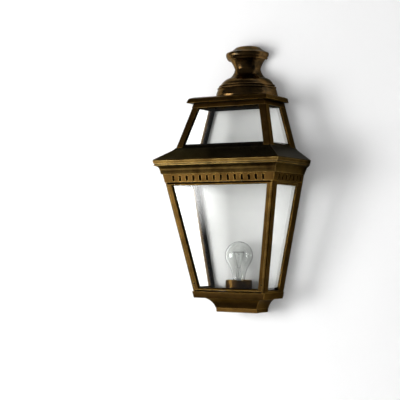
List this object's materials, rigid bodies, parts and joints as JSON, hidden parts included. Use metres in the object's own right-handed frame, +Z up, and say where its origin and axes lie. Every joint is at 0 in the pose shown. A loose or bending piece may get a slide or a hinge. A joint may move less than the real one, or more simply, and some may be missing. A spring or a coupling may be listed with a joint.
{
  "type": "wall lantern",
  "caption": "Half-lantern outdoor wall light: flat back, coved tray, tapered glazed body with hinged front, slotted frieze, cornice, glazed crown and turned chimney.",
  "frame": {"origin": "on the wall plane, midway between the two wall fixing holes in the back plate", "axes": "+X along the wall, to the right as seen from the room side; +Y into the wall; +Z up the light"},
  "size_m": [0.3, 0.153, 0.5776],
  "materials": {
    "aged_bronze": "satin",
    "dark_bronze": "satin",
    "pane_glass": "gloss",
    "bulb_glass": "gloss",
    "satin_aluminium": "satin",
    "brass": "satin",
    "steel": "satin",
    "porcelain": "gloss",
    "black_rubber": "matte"
  },
  "bodies": {
    "root": {"back_plate": "dark_bronze", "back_screws": "steel", "body_reflector": "satin_aluminium", "crown_reflector": "satin_aluminium", "base_tray": "aged_bronze", "base_cover": "dark_bronze", "base_cover_screws": "steel", "cable_gland": "black_rubber", "terminal_block": "porcelain", "terminal_screws": "brass", "earth_screw": "brass", "holder_leads": "black_rubber", "lampholder_cup": "aged_bronze", "lampholder_body": "porcelain", "lampholder_shell": "brass", "lampholder_contact": "brass", "lampholder_screws": "steel", "bulb_glass": "bulb_glass", "bulb_stem": "bulb_glass", "bulb_filament": "steel", "bulb_cap": "brass", "post_front_left": "aged_bronze", "post_front_right": "aged_bronze", "post_rear_left": "aged_bronze", "post_rear_right": "aged_bronze", "side_pane_left": "pane_glass", "side_pane_right": "pane_glass", "side_retainer_left": "dark_bronze", "side_retainer_right": "dark_bronze", "hinge_pins": "steel", "frieze": "aged_bronze", "cornice": "aged_bronze", "roof": "dark_bronze", "crown_post_front_left": "aged_bronze", "crown_post_front_right": "aged_bronze", "crown_post_rear_left": "aged_bronze", "crown_post_rear_right": "aged_bronze", "crown_pane_front": "pane_glass", "crown_pane_left": "pane_glass", "crown_pane_right": "pane_glass", "crown_retainer_front": "dark_bronze", "crown_retainer_left": "dark_bronze", "crown_retainer_right": "dark_bronze", "crown_rail": "aged_bronze", "crown_plate": "dark_bronze", "chimney_bell": "dark_bronze", "chimney_cap": "dark_bronze", "chimney_rod": "steel", "chimney_nuts": "steel"},
    "front_flap": {"flap_frame": "aged_bronze", "flap_pane": "pane_glass", "flap_retainer": "dark_bronze", "flap_screws": "steel"}
  },
  "joints": [
    {"name": "flap_hinge", "type": "hinge", "parent": "root", "child": "front_flap", "pos_m": [0, -0.12823, -0.0185], "axis": [-1, 0, 0], "range_deg": [0, 95]}
  ]
}
